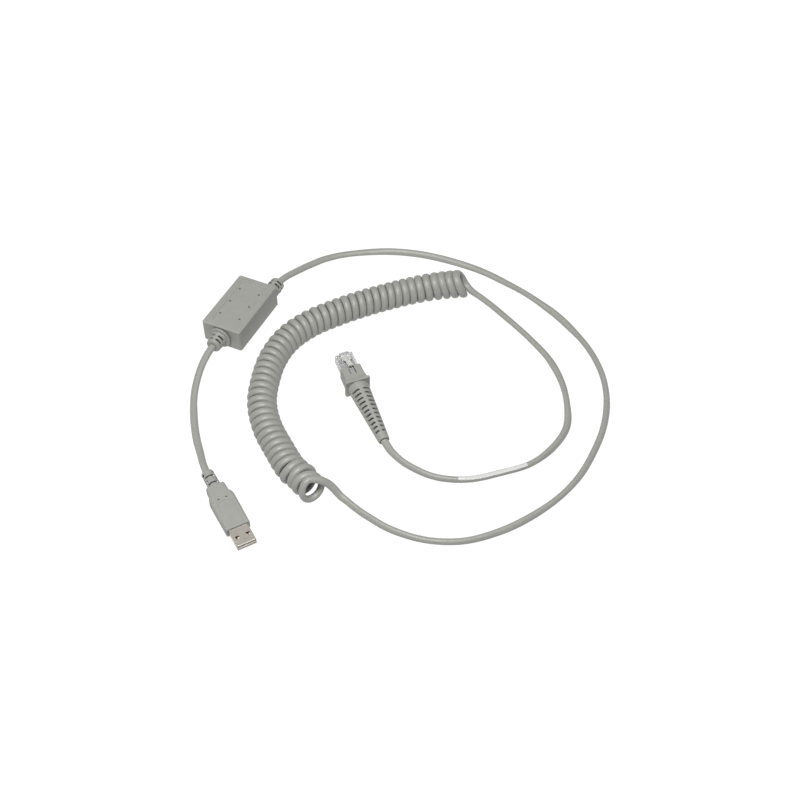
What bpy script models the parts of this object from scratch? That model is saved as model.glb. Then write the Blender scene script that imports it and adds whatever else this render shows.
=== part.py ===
"""Interface cable of a handheld barcode scanner: a USB plug, an inline module, a curly cord
and a ten-way modular plug, laid out on a flat surface.

Metres, +Z up. The origin is on the surface, under the middle of the inline module, and +X runs
along the module from its USB lead to its scanner lead. Each plug is modelled in a frame of its
own, with +X out of the plug's nose, and placed by an empty.
"""
import math

import bmesh
import bpy
from mathutils import Matrix, Vector

GAP = 0.0003                      # clearance left between neighbouring pieces

# Cord
CORD_RADIUS = 0.0023
CORD_BORE = CORD_RADIUS + 1.5 * GAP
CORD_SPACING = 0.0115
COIL_RADIUS = 0.0096
COIL_SPACING = 0.0105

# Inline module
MODULE = Vector((0.0510, 0.0290, 0.0168))
MODULE_CORNER = 0.0015
MODULE_EDGE = 0.0011
MODULE_AXIS_Z = MODULE.z / 2
MODULE_WALL = 0.0029
USB_EXIT_Y = 0.0005
SCANNER_EXIT_Y = -0.0086
PANEL = Vector((0.0405, 0.0186, 0.0003))
PIN_PITCH = (0.0131, 0.0074)
PIN_RADIUS = 0.00065
STUB_RADIUS = 0.0042
RELIEF_LENGTH = 0.0108
RELIEF_BASE_RADIUS = 0.0055
RELIEF_END_RADIUS = 0.0048
RELIEF_FLANGE_LENGTH = 0.0015
USB_FLANGE_RADIUS = 0.0079
SCANNER_FLANGE_RADIUS = 0.0056

# USB plug: its frame's origin is in the middle of the shell's open end
USB_PLACE = Vector((-0.1634, -0.0979, 0.0036))
USB_YAW = math.radians(-126.6)
SHELL = Vector((0.0186, 0.0120, 0.0045))
SHELL_WALL = 0.0003
SHELL_CORNER = 0.0007
SHELL_SHOWS = 0.0128
USB_CONTACT_Y = (-0.0035, -0.0010, 0.0010, 0.0035)
GRIP_END = 0.0370
NECK_START = 0.0418
NECK_END = 0.0480
USB_PLUG_LENGTH = 0.0625
POCKET_END = 0.0385

# Modular plug: its frame's origin is in the middle of the flange's rear face
MODULAR_PLACE = Vector((-0.0277, -0.1024, 0.00715))
MODULAR_YAW = math.radians(46.9)
MODULAR_PITCH = math.radians(4.3)
BODY_REAR = 0.0058
BODY_FRONT = 0.0273
BODY_HALF_WIDTH = 0.00584
BODY_TOP = 0.0030
BODY_BOTTOM = -0.0036
CONTACT_COUNT = 10
CONTACT_PITCH = 0.00102
COLLAR_FRONT = 0.0145
FLANGE = Vector((0.0025, 0.0164, 0.0140))
BOOT_LENGTH = 0.0460
BOOT_BASE_RADIUS = 0.0067
BOOT_END_RADIUS = 0.0036
BOOT_SLOTS = 11
BOOT_FIRST_SLOT = 0.0069
BOOT_SLOT_PITCH = 0.0033
LATCH_HINGE = Vector((0.0245, 0.0, 0.0044))
LATCH_RISE = math.radians(11.0)
LATCH_LENGTH = 0.0112
LATCH_THICKNESS = 0.0009

# The cord's routes outside the mouldings
JACKET_END = 0.0212               # inside the module, from its middle
USB_LEAD = (
    (-0.0365, 0.0005, 0.0084), (-0.0440, 0.0002, 0.0079), (-0.0540, -0.0010, 0.0065), (-0.0650, -0.0038, 0.0043),
    (-0.0760, -0.0088, 0.0027), (-0.0870, -0.0150, 0.0024), (-0.0970, -0.0218, 0.0024),
    (-0.1062, -0.0290, 0.0024), (-0.1150, -0.0370, 0.0027), (-0.1210, -0.0423, 0.0032),
    (-0.1261, -0.0477, 0.0036))
SCANNER_LEAD = (
    (0.0365, -0.0086, 0.0084), (0.0445, -0.0101, 0.0079), (0.0550, -0.0130, 0.0064), (0.0670, -0.0178, 0.0044),
    (0.0840, -0.0275, 0.0026), (0.0970, -0.0450, 0.0024), (0.1070, -0.0640, 0.0024),
    (0.1130, -0.0850, 0.0024), (0.1152, -0.1070, 0.0024), (0.1142, -0.1290, 0.0024),
    (0.1102, -0.1510, 0.0024), (0.1038, -0.1720, 0.0024), (0.0948, -0.1920, 0.0024),
    (0.0832, -0.2108, 0.0024), (0.0690, -0.2272, 0.0024), (0.0518, -0.2405, 0.0024),
    (0.0320, -0.2502, 0.0024), (0.0102, -0.2552, 0.0024), (-0.0120, -0.2562, 0.0024),
    (-0.0340, -0.2540, 0.0024), (-0.0550, -0.2480, 0.0024), (-0.0745, -0.2383, 0.0024),
    (-0.0920, -0.2258, 0.0024), (-0.1067, -0.2090, 0.0024), (-0.1155, -0.1890, 0.0024),
    (-0.1172, -0.1680, 0.0024), (-0.1148, -0.1500, 0.0026), (-0.1122, -0.1387, 0.0043),
    (-0.1116, -0.1306, 0.0093), (-0.1110, -0.1240, 0.0143), (-0.1106, -0.1175, 0.0165),
    (-0.1114, -0.1140, 0.0160))
CURLY_CORD = (
    (-0.1130, -0.1105), (-0.1070, -0.0990), (-0.0965, -0.0835), (-0.0830, -0.0685),
    (-0.0670, -0.0560), (-0.0490, -0.0470), (-0.0300, -0.0422), (-0.0100, -0.0424),
    (0.0090, -0.0487), (0.0260, -0.0590), (0.0410, -0.0710), (0.0560, -0.0850),
    (0.0700, -0.0990), (0.0800, -0.1115), (0.0880, -0.1240))
TAIL_LEAD = (
    (0.0883, -0.1262, 0.0098), (0.0882, -0.1300, 0.0082), (0.0878, -0.1355, 0.0057),
    (0.0861, -0.1439, 0.0034), (0.0816, -0.1550, 0.0024), (0.0730, -0.1715, 0.0024),
    (0.0630, -0.1880, 0.0024), (0.0515, -0.2035, 0.0024), (0.0370, -0.2170, 0.0024),
    (0.0200, -0.2272, 0.0024), (0.0010, -0.2337, 0.0024), (-0.0185, -0.2318, 0.0024),
    (-0.0367, -0.2241, 0.0024), (-0.0510, -0.2102, 0.0024), (-0.0643, -0.1941, 0.0024),
    (-0.0706, -0.1754, 0.0024), (-0.0690, -0.1560, 0.0024), (-0.0645, -0.1437, 0.0029))
LABEL_SPAN = (0.1880, 0.2310)     # distances along the tail lead
LABEL_THICKNESS = 0.00025


# ---------------------------------------------------------------- materials

def make_material(name, colour, roughness, metallic=0.0, transmission=0.0):
    material = bpy.data.materials.new(name)
    material.use_nodes = True
    shader = material.node_tree.nodes["Principled BSDF"]
    shader.inputs["Base Color"].default_value = (*colour, 1.0)
    shader.inputs["Roughness"].default_value = roughness
    shader.inputs["Metallic"].default_value = metallic
    shader.inputs["Transmission Weight"].default_value = transmission
    material.diffuse_color = (*colour, 1.0)
    return material


def pvc(name, shade=1.0):
    return make_material(name, (0.37 * shade, 0.37 * shade, 0.34 * shade), 0.5)


# ---------------------------------------------------------------- objects

def clear_scene():
    for thing in list(bpy.data.objects):
        bpy.data.objects.remove(thing)


def add_mesh(name, bm, material=None, parent=None, smooth=30.0):
    """Turns a bmesh into an object with outward faces."""
    bmesh.ops.recalc_face_normals(bm, faces=bm.faces)
    mesh = bpy.data.meshes.new(name)
    bm.to_mesh(mesh)
    bm.free()
    mesh.shade_smooth()
    mesh.set_sharp_from_angle(angle=math.radians(smooth))
    if material:
        mesh.materials.append(material)
    thing = bpy.data.objects.new(name, mesh)
    thing.parent = parent
    bpy.context.scene.collection.objects.link(thing)
    return thing


def add_empty(name, place, rotation=Matrix(), parent=None):
    empty = bpy.data.objects.new(name, None)
    empty.matrix_local = Matrix.Translation(place) @ rotation.to_4x4()
    empty.parent = parent
    empty.empty_display_size = 0.01
    bpy.context.scene.collection.objects.link(empty)
    return empty


def cut(target, name, bm, operation="DIFFERENCE"):
    """Adds a Boolean with a hidden operand, which lies in the target's own frame."""
    operand = add_mesh(name, bm, None, target.parent)
    operand.hide_render = True
    operand.display_type = "WIRE"
    boolean = target.modifiers.new(name, "BOOLEAN")
    boolean.operation = operation
    boolean.solver = "EXACT"
    boolean.object = operand


# ---------------------------------------------------------------- shapes

def ring(half_a, half_b, radius, corner_points=8):
    """Rounded rectangle as (a, b) pairs, counter-clockwise; equal values give a circle."""
    points = []
    for corner in range(4):
        sign_a = 1 if corner in (0, 3) else -1
        sign_b = 1 if corner in (0, 1) else -1
        for step in range(corner_points):
            angle = (corner + (step + 0.5) / corner_points) * math.pi / 2
            points.append((sign_a * (half_a - radius) + radius * math.cos(angle),
                           sign_b * (half_b - radius) + radius * math.sin(angle)))
    return points


def loft(bm, rings, closed=False):
    """Skins a row of rings; closed joins the last ring to the first, or else ends are capped."""
    rows = [[bm.verts.new(point) for point in points] for points in rings]
    count = len(rows[0])
    pairs = list(zip(rows, rows[1:]))
    if closed:
        pairs.append((rows[-1], rows[0]))
    for first, second in pairs:
        for i in range(count):
            j = (i + 1) % count
            bm.faces.new((first[i], first[j], second[j], second[i]))
    if not closed:
        bm.faces.new(rows[0])
        bm.faces.new(rows[-1])


def along_x(sections, corner_points=8):
    """Rings across X from (x, half width, half height, corner radius)."""
    return [[(x, y, z) for y, z in ring(half_y, half_z, radius, corner_points)]
            for x, half_y, half_z, radius in sections]


def turned(bm, profile, closed=False, sides=32, y=0.0, z=0.0):
    """Turns (x, radius) pairs about an axis along X."""
    loft(bm, [[(x, y + b, z + c) for b, c in ring(r, r, r, sides // 4)]
              for x, r in profile], closed)


def box(bm, low, high):
    corners = [(low[0], y, z) for y, z in
               ((low[1], low[2]), (high[1], low[2]), (high[1], high[2]), (low[1], high[2]))]
    loft(bm, [corners, [(high[0], y, z) for x, y, z in corners]])


def rounded_block(bm, centre, size, corner, edge, steps=4):
    """Block with rounded upright corners and a rounded edge around its top and bottom."""
    half = size / 2
    rings = []
    for side in (-1, 1):
        arc = []
        for step in range(steps + 1):
            angle = step / steps * math.pi / 2
            inset = edge * (1 - math.cos(angle))
            height = centre.z + side * (half.z - edge + edge * math.sin(angle))
            arc.append([(centre.x + a, centre.y + b, height) for a, b in
                        ring(half.x - inset, half.y - inset, corner - inset, 6)])
        rings += arc[::-1] if side < 0 else arc
    loft(bm, rings)


def plate(bm, outline, low, high, axis="Y"):
    """Extrudes an outline of (x, z) pairs along Y, or of (x, y) pairs along Z."""
    if axis == "Y":
        loft(bm, [[(x, offset, z) for x, z in outline] for offset in (low, high)])
    else:
        loft(bm, [[(x, y, offset) for x, y in outline] for offset in (low, high)])


def sector(bm, x_low, x_high, inner, outer, middle, span, y=0.0, z=0.0, steps=5):
    """Part of a ring about an axis along X, centred on an angle that is 90 degrees at the top."""
    angles = [middle + span * (step / steps - 0.5) for step in range(steps + 1)]
    outline = [(y + outer * math.cos(a), z + outer * math.sin(a)) for a in angles]
    outline += [(y + inner * math.cos(a), z + inner * math.sin(a)) for a in reversed(angles)]
    loft(bm, [[(x, b, c) for b, c in outline] for x in (x_low, x_high)])


def smooth_path(points, spacing, steps=24):
    """Evenly spaced points on the smooth curve that passes through the given ones."""
    knots = [Vector(point) for point in points]
    slopes = []
    for i in range(len(knots)):
        before, after = knots[max(i - 1, 0)], knots[min(i + 1, len(knots) - 1)]
        here = knots[i]
        slopes.append((after - before) / ((after - here).length + (here - before).length))
    fine = [knots[0]]
    for start, end, slope, next_slope in zip(knots, knots[1:], slopes, slopes[1:]):
        chord = (end - start).length
        for step in range(1, steps + 1):
            t = step / steps
            fine.append(start * (2 * t**3 - 3 * t**2 + 1) + end * (3 * t**2 - 2 * t**3)
                        + slope * chord * (t**3 - 2 * t**2 + t)
                        + next_slope * chord * (t**3 - t**2))
    return resample(fine, spacing)


def resample(fine, spacing):
    """Points at equal distances along a fine polyline, both of its ends among them."""
    travelled = [0.0]
    for a, b in zip(fine, fine[1:]):
        travelled.append(travelled[-1] + (b - a).length)
    count = max(2, round(travelled[-1] / spacing) + 1)
    path = []
    i = 0
    for k in range(count):
        goal = travelled[-1] * k / (count - 1)
        while i < len(fine) - 2 and travelled[i + 1] < goal:
            i += 1
        share = (goal - travelled[i]) / (travelled[i + 1] - travelled[i])
        path.append(fine[i].lerp(fine[i + 1], min(max(share, 0.0), 1.0)))
    return path


# ---------------------------------------------------------------- cord

def add_tube(name, path, radius, material, resolution=2):
    curve = bpy.data.curves.new(name, "CURVE")
    curve.dimensions = "3D"
    curve.bevel_depth = radius
    curve.bevel_resolution = resolution
    curve.use_fill_caps = True
    curve.twist_mode = "Z_UP"
    spline = curve.splines.new("POLY")
    spline.points.add(len(path) - 1)
    for point, place in zip(spline.points, path):
        point.co = (*place, 1.0)
    curve.materials.append(material)
    tube = bpy.data.objects.new(name, curve)
    bpy.context.scene.collection.objects.link(tube)


def path_stretch(path, start, end):
    """The part of a path between two distances along it."""
    part = []
    travelled = 0.0
    for a, b in zip(path, path[1:]):
        if start <= travelled <= end:
            part.append(a)
        travelled += (b - a).length
    return part


def add_label(name, path, material):
    """A label wrapped over the top and sides of the cord that it follows."""
    inner = CORD_RADIUS + GAP
    bm = bmesh.new()
    rings = []
    for i, here in enumerate(path):
        ahead = path[min(i + 1, len(path) - 1)] - path[max(i - 1, 0)]
        side = Vector((-ahead.y, ahead.x, 0.0)).normalized()
        angles = [math.radians(-12 + 204 * step / 12) for step in range(13)]
        ring_points = [here + side * radius * math.cos(a) + Vector((0, 0, radius * math.sin(a)))
                       for radius, order in ((inner, angles),
                                             (inner + LABEL_THICKNESS, angles[::-1]))
                       for a in order]
        rings.append(ring_points)
    loft(bm, rings)
    add_mesh(name, bm, material)


# ---------------------------------------------------------------- inline module

def add_housing(material):
    bm = bmesh.new()
    rounded_block(bm, Vector((0, 0, MODULE_AXIS_Z)), MODULE, MODULE_CORNER, MODULE_EDGE)
    housing = add_mesh("module_housing", bm, material)

    bm = bmesh.new()
    cavity = MODULE / 2 - Vector((MODULE_WALL, MODULE_WALL, MODULE_WALL))
    centre = Vector((0, 0, MODULE_AXIS_Z))
    box(bm, centre - cavity, centre + cavity)
    cut(housing, "housing_cavity", bm)

    bm = bmesh.new()
    loft(bm, [[(a, b, MODULE.z - PANEL.z + lift) for a, b in
               ring(PANEL.x / 2 + lift, PANEL.y / 2 + lift, 0.0016, 4)] for lift in (0, 0.001)])
    cut(housing, "housing_panel", bm)

    bm = bmesh.new()
    for column in (-1, 0, 1):
        for row in (-1, 1):
            add_pin_hole(bm, column * PIN_PITCH[0], row * PIN_PITCH[1])
    cut(housing, "housing_pin_holes", bm)

    bm = bmesh.new()
    for end, y in ((-1, USB_EXIT_Y), (1, SCANNER_EXIT_Y)):
        inside = end * (MODULE.x / 2 - MODULE_WALL - 0.001)
        outside = end * (MODULE.x / 2 + 0.001)
        turned(bm, [(inside, STUB_RADIUS + GAP), (outside, STUB_RADIUS + GAP)],
               sides=24, y=y, z=MODULE_AXIS_Z)
    cut(housing, "housing_lead_holes", bm)


def add_pin_hole(bm, x, y):
    """Locating-pin hole through the roof of the module, down to its inner shell."""
    low, high = MODULE.z - MODULE_WALL - 0.001, MODULE.z + 0.001
    circle = ring(PIN_RADIUS, PIN_RADIUS, PIN_RADIUS, 3)
    loft(bm, [[(x + a, y + b, z) for a, b in circle] for z in (low, high)])


def add_relief(name, end, y, flange_radius, material):
    """Strain relief on one end of the module, with two rows of slots and a bore for the cord."""
    face = MODULE.x / 2
    profile = [(face - MODULE_WALL, STUB_RADIUS), (face + GAP, STUB_RADIUS),
               (face + GAP, flange_radius - 0.0003), (face + GAP + 0.0003, flange_radius)]
    flange_end = face + RELIEF_FLANGE_LENGTH
    profile += [(flange_end - 0.0003, flange_radius), (flange_end, flange_radius - 0.0003),
                (flange_end + 0.0002, RELIEF_BASE_RADIUS)]
    nose = 0.0014
    tip = face + RELIEF_LENGTH
    for step in range(5):
        angle = step / 4 * math.pi / 2
        profile.append((tip - nose + nose * math.sin(angle),
                        RELIEF_END_RADIUS - nose * (1 - math.cos(angle))))
    profile += [(tip, CORD_BORE), (face - MODULE_WALL, CORD_BORE)]
    bm = bmesh.new()
    turned(bm, [(end * x, r) for x, r in profile], closed=True, sides=40, y=y, z=MODULE_AXIS_Z)
    relief = add_mesh(name, bm, material)
    bm = bmesh.new()
    for row, (distance, turn) in enumerate(((0.0031, 0.0), (0.0058, 45.0))):
        start = flange_end + distance - 0.0012
        for quarter in range(4):
            middle = math.radians(45.0 + turn + 90.0 * quarter)
            sector(bm, end * start, end * (start + 0.0010), CORD_BORE + 0.0006, 0.0075,
                   middle, math.radians(62.0), y=y, z=MODULE_AXIS_Z)
    cut(relief, name + "_slots", bm)


def add_inner_shells(material):
    """Two trays of the rigid inner case, which meet at the height of the cord."""
    outer = MODULE / 2 - Vector((1, 1, 1)) * (MODULE_WALL + GAP)
    wall = 0.0011
    for name, side in (("inner_shell_lower", -1), ("inner_shell_upper", 1)):
        near = MODULE_AXIS_Z + side * GAP / 2
        far = MODULE_AXIS_Z + side * outer.z
        bm = bmesh.new()
        box(bm, (-outer.x, -outer.y, min(near, far)), (outer.x, outer.y, max(near, far)))
        shell = add_mesh(name, bm, material)
        bm = bmesh.new()
        floor = far - side * wall
        beyond = near - side * 0.001
        box(bm, (wall - outer.x, wall - outer.y, min(floor, beyond)),
            (outer.x - wall, outer.y - wall, max(floor, beyond)))
        cut(shell, name + "_hollow", bm)
        bm = bmesh.new()
        for end, y in ((-1, USB_EXIT_Y), (1, SCANNER_EXIT_Y)):
            ends = sorted((end * (outer.x - 2 * wall), end * (outer.x + 0.001)))
            turned(bm, [(x, CORD_BORE) for x in ends], sides=16, y=y, z=MODULE_AXIS_Z)
        cut(shell, name + "_notches", bm)


def add_electronics():
    board_top = 0.0076
    board_green = make_material("board_laminate", (0.03, 0.16, 0.07), 0.45)
    chip_black = make_material("chip_epoxy", (0.02, 0.02, 0.02), 0.5)
    can_metal = make_material("crystal_can", (0.62, 0.62, 0.60), 0.3, 1.0)
    ceramic = make_material("capacitor_ceramic", (0.42, 0.31, 0.20), 0.5)
    nylon = make_material("header_nylon", (0.72, 0.70, 0.62), 0.5)
    bm = bmesh.new()
    box(bm, (-0.0165, -0.0092, board_top - 0.0012), (0.0165, 0.0092, board_top))
    add_mesh("circuit_board", bm, board_green)
    parts = [("interface_chip", (0.0, 0.0005, 0.0070, 0.0070, 0.0014), chip_black),
             ("voltage_regulator", (-0.0075, -0.0055, 0.0030, 0.0035, 0.0013), chip_black),
             ("crystal", (0.0068, 0.0055, 0.0048, 0.0030, 0.0016), can_metal),
             ("usb_header", (-0.0135, 0.0005, 0.0040, 0.0100, 0.0030), nylon),
             ("scanner_header", (0.0135, -0.0018, 0.0040, 0.0130, 0.0030), nylon)]
    for index, (x, y) in enumerate(((-0.0070, 0.0050), (-0.0062, 0.0068), (0.0062, -0.0040),
                                    (0.0010, -0.0068)), 1):
        parts.append((f"capacitor_{index}", (x, y, 0.0016, 0.0009, 0.0009), ceramic))
    for name, (x, y, length, width, height), material in parts:
        bm = bmesh.new()
        low = board_top + GAP / 2
        box(bm, (x - length / 2, y - width / 2, low),
            (x + length / 2, y + width / 2, low + height))
        add_mesh(name, bm, material)


# ---------------------------------------------------------------- USB plug

def add_usb_overmould(frame, material):
    """Grip, neck and slotted strain relief, moulded in one piece around the plug."""
    height = USB_PLACE.z - 0.00005
    sections = [(-SHELL_SHOWS, 0.0068, height - 0.0004, 0.0013),
                (-SHELL_SHOWS - 0.0004, 0.0072, height, 0.0016),
                (-0.0250, 0.0075, height, 0.0017), (-GRIP_END + 0.0010, 0.0078, height, 0.0018)]
    for step in range(1, 5):
        angle = step / 4 * math.pi / 2
        sections.append((-GRIP_END - 0.0030 * math.sin(angle),
                         0.0078 - 0.0012 * (1 - math.cos(angle)), height, 0.0018))
    sections += [(-NECK_START, 0.0057, height, 0.0014), (-NECK_END + 0.0006, 0.0053, height, 0.0013),
                 (-NECK_END, 0.0049, height - 0.0004, 0.0010)]
    relief = height - 0.0001
    sections += [(-NECK_END - 0.0001, relief, relief, relief),
                 (-USB_PLUG_LENGTH + 0.0007, relief - 0.0003, relief - 0.0003, relief - 0.0003),
                 (-USB_PLUG_LENGTH, relief - 0.0009, relief - 0.0009, relief - 0.0009)]
    bm = bmesh.new()
    loft(bm, along_x(sections))
    mould = add_mesh("usb_overmould", bm, material, frame)

    bm = bmesh.new()
    loft(bm, along_x([(-POCKET_END, SHELL.y / 2 + GAP, SHELL.z / 2 + GAP, SHELL_CORNER + GAP),
                      (0.0, SHELL.y / 2 + GAP, SHELL.z / 2 + GAP, SHELL_CORNER + GAP)], 3))
    cut(mould, "usb_pocket", bm)

    bm = bmesh.new()
    turned(bm, [(-USB_PLUG_LENGTH - 0.001, CORD_BORE), (-POCKET_END + 0.001, CORD_BORE)], sides=20)
    cut(mould, "usb_bore", bm)

    bm = bmesh.new()
    for y in (-0.00255, 0.00255):
        circle = ring(0.00055, 0.00055, 0.00055, 3)
        loft(bm, [[(-0.0357 + a, y + b, z) for a, b in circle]
                  for z in (SHELL.z / 2 + GAP / 2, height + 0.001)])
    cut(mould, "usb_pin_holes", bm)

    bm = bmesh.new()
    recess = []
    for step in range(9):
        angle = math.radians(90 + 180 * step / 8)
        recess.append((-0.0310 + 0.0030 * math.cos(angle), 0.0046 * math.sin(angle)))
    recess += [(-0.0155, -0.0046), (-0.0155, 0.0046)]
    plate(bm, recess, height - 0.0002, height + 0.001, "Z")
    cut(mould, "usb_recess", bm)

    bm = bmesh.new()
    for x, angles in ((-0.0502, (90, 270)), (-0.0532, (0, 180)), (-0.0563, (90, 270)),
                      (-0.0593, (0, 180))):
        for angle in angles:
            span = math.radians(118.0 if angle in (90, 270) else 62.0)
            sector(bm, x - 0.0005, x + 0.0005, CORD_BORE + 0.0002, 0.0055,
                   math.radians(angle), span)
    cut(mould, "usb_relief_slots", bm)


def add_usb_shell(frame, material):
    """Drawn metal shell with two latch windows in its top and two in its bottom."""
    half_y, half_z = SHELL.y / 2, SHELL.z / 2
    lip = 0.00015
    outer = [(-SHELL.x, half_y, half_z, SHELL_CORNER), (-lip, half_y, half_z, SHELL_CORNER),
             (0.0, half_y - lip, half_z - lip, SHELL_CORNER - lip)]
    inner = [(x, y - SHELL_WALL, z - SHELL_WALL, radius - SHELL_WALL)
             for x, y, z, radius in ((0.0, half_y, half_z, SHELL_CORNER), outer[0])]
    bm = bmesh.new()
    loft(bm, along_x(outer + inner, 4), closed=True)
    shell = add_mesh("usb_shell", bm, material, frame)
    bm = bmesh.new()
    for y in (-0.0033, 0.0033):
        box(bm, (-0.0070, y - 0.00125, -half_z - 0.001), (-0.0050, y + 0.00125, half_z + 0.001))
    cut(shell, "usb_windows", bm)


def add_usb_inside(frame, plastic, mould, gold):
    inner_z = SHELL.z / 2 - SHELL_WALL - GAP / 2
    inner_y = SHELL.y / 2 - SHELL_WALL - GAP / 2
    tongue_top = inner_z * -1 + 0.00185
    block_start = -0.0098
    outline = [(-0.0010, -inner_z), (-0.0006, -inner_z + 0.0004), (-0.0006, tongue_top - 0.0003),
               (-0.0009, tongue_top), (block_start, tongue_top), (block_start, inner_z),
               (-SHELL.x + 0.0003, inner_z), (-SHELL.x + 0.0003, -inner_z)]
    bm = bmesh.new()
    plate(bm, outline, -inner_y, inner_y)
    add_mesh("usb_insulator", bm, plastic, frame)
    for index, y in enumerate(USB_CONTACT_Y, 1):
        tip = -0.0022 if abs(y) > 0.002 else -0.0032
        low = tongue_top + GAP / 3
        strip = [(tip, low), (tip - 0.0006, low + 0.0003), (block_start + 0.0001, low + 0.0003),
                 (block_start + 0.0001, low)]
        bm = bmesh.new()
        plate(bm, strip, y - 0.0005, y + 0.0005)
        add_mesh(f"usb_contact_{index}", bm, gold, frame)
    bm = bmesh.new()
    loft(bm, along_x([(-POCKET_END + GAP, 0.0050, 0.0021, 0.0008),
                      (-POCKET_END + 0.0030, 0.0058, 0.0021, 0.0008),
                      (-SHELL.x - GAP, 0.0058, 0.0021, 0.0008)], 4))
    core = add_mesh("usb_inner_mould", bm, mould, frame)
    bm = bmesh.new()
    turned(bm, [(-POCKET_END - 0.001, CORD_BORE), (-POCKET_END + 0.0025, CORD_BORE)], sides=16)
    cut(core, "usb_inner_bore", bm)


# ---------------------------------------------------------------- modular plug

def add_boot(frame, material):
    """Collar, flange and slotted taper, moulded in one hollow piece."""
    half_y, half_z = FLANGE.y / 2, FLANGE.z / 2
    sections = [(COLLAR_FRONT, 0.0066, 0.0050, 0.0009), (COLLAR_FRONT - 0.0004, 0.0070, 0.0054, 0.0012),
                (FLANGE.x + 0.0010, 0.0071, 0.0056, 0.0013), (FLANGE.x + 0.0001, 0.0076, 0.0062, 0.0016),
                (FLANGE.x, half_y - 0.0004, half_z - 0.0004, 0.0014),
                (FLANGE.x - 0.0004, half_y, half_z, 0.0018), (0.0004, half_y, half_z, 0.0018),
                (0.0, half_y - 0.0004, half_z - 0.0004, 0.0014)]
    for share in (0.0, 0.25, 0.5, 0.75, 0.97, 1.0):
        radius = BOOT_BASE_RADIUS + (BOOT_END_RADIUS - BOOT_BASE_RADIUS) * min(share / 0.97, 1.0)
        radius -= 0.0006 if share == 1.0 else 0.0
        sections.append((-0.00005 - BOOT_LENGTH * share, radius, radius, radius))
    bm = bmesh.new()
    loft(bm, along_x(sections))
    boot = add_mesh("plug_boot", bm, material, frame)

    bm = bmesh.new()
    pocket = BODY_HALF_WIDTH + GAP
    box(bm, (BODY_REAR - GAP, -pocket, BODY_BOTTOM - GAP), (COLLAR_FRONT + 0.001, pocket, BODY_TOP + GAP))
    cut(boot, "boot_pocket", bm)

    bm = bmesh.new()
    wall = 0.0013
    bore_start = 0.0300
    turned(bm, [(BODY_REAR, 0.0030), (0.0030, 0.0030), (-0.0020, BOOT_BASE_RADIUS - wall),
                (-bore_start, CORD_BORE + 0.0001), (-BOOT_LENGTH - 0.001, CORD_BORE + 0.0001)],
           sides=24)
    cut(boot, "boot_bore", bm)

    bm = bmesh.new()
    box(bm, (0.0052, -0.0022, BODY_TOP), (COLLAR_FRONT + 0.001, 0.0022, 0.008))
    cut(boot, "boot_latch_channel", bm)

    bm = bmesh.new()
    for index in range(BOOT_SLOTS):
        x = -BOOT_FIRST_SLOT - index * BOOT_SLOT_PITCH
        half = 0.00050 + 0.00012 * index / BOOT_SLOTS
        for quarter in range(4):
            sector(bm, x - half, x + half, 0.0022, 0.0080, math.radians(45 + 90 * quarter),
                   math.radians(46.0), steps=3)
    cut(boot, "boot_slots", bm)


def add_modular_body(frame, material):
    """Clear body: a rear hollow for the conductors, contact slots and a raised latch root."""
    outline = [(BODY_REAR, BODY_BOTTOM + 0.0004), (BODY_REAR + 0.0004, BODY_BOTTOM),
               (BODY_FRONT - 0.0006, BODY_BOTTOM), (BODY_FRONT, BODY_BOTTOM + 0.0008),
               (BODY_FRONT, BODY_TOP - 0.0003), (BODY_FRONT - 0.0003, BODY_TOP),
               (BODY_REAR + 0.0003, BODY_TOP), (BODY_REAR, BODY_TOP - 0.0003)]
    bm = bmesh.new()
    plate(bm, outline, -BODY_HALF_WIDTH, BODY_HALF_WIDTH)
    body = add_mesh("modular_plug_body", bm, material, frame)

    bm = bmesh.new()
    root = LATCH_HINGE.x + GAP / 2
    plate(bm, [(root, BODY_TOP - 0.0005), (BODY_FRONT - 0.0004, BODY_TOP - 0.0005),
               (BODY_FRONT - 0.0004, 0.0038), (BODY_FRONT - 0.0011, 0.0050), (root, 0.0050)],
          -0.0030, 0.0030)
    cut(body, "latch_root", bm, "UNION")

    bm = bmesh.new()
    box(bm, (BODY_REAR - 0.001, -0.0053, -0.0014), (0.0258, 0.0053, 0.0012))
    cut(body, "conductor_hollow", bm)

    bm = bmesh.new()
    turned(bm, [(BODY_REAR - 0.001, CORD_BORE), (0.0090, CORD_BORE)], sides=16)
    cut(body, "jacket_bore", bm)

    bm = bmesh.new()
    for y in contact_places():
        box(bm, (0.0203, y - 0.0003, BODY_BOTTOM - 0.001), (0.0264, y + 0.0003, -0.0010))
    cut(body, "contact_slots", bm)


def contact_places():
    return [(index - (CONTACT_COUNT - 1) / 2) * CONTACT_PITCH for index in range(CONTACT_COUNT)]


def add_contacts_and_wires(frame, gold):
    colours = {"violet": (0.16, 0.06, 0.30), "white": (0.70, 0.70, 0.68), "grey": (0.25, 0.25, 0.26),
               "brown": (0.14, 0.06, 0.03), "yellow": (0.62, 0.47, 0.05), "green": (0.05, 0.24, 0.08),
               "red": (0.45, 0.04, 0.03), "black": (0.02, 0.02, 0.02), "orange": (0.60, 0.20, 0.03),
               "blue": (0.04, 0.10, 0.42)}
    places = contact_places()
    for index, (y, (colour_name, colour)) in enumerate(zip(places, colours.items()), 1):
        bm = bmesh.new()
        plate(bm, [(0.0208, -0.0031), (0.0211, -0.0034), (0.0257, -0.0034), (0.0260, -0.0031),
                   (0.0260, -0.0013), (0.0208, -0.0013)], y - 0.00015, y + 0.00015)
        add_mesh(f"modular_contact_{index}", bm, gold, frame)
        insulation = make_material(f"insulation_{colour_name}", colour, 0.45)
        bm = bmesh.new()
        turned(bm, [(0.0094, 0.00042), (0.0254, 0.00042)], sides=8, y=y, z=-0.0002)
        add_mesh(f"modular_wire_{index}", bm, insulation, frame)


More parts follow.
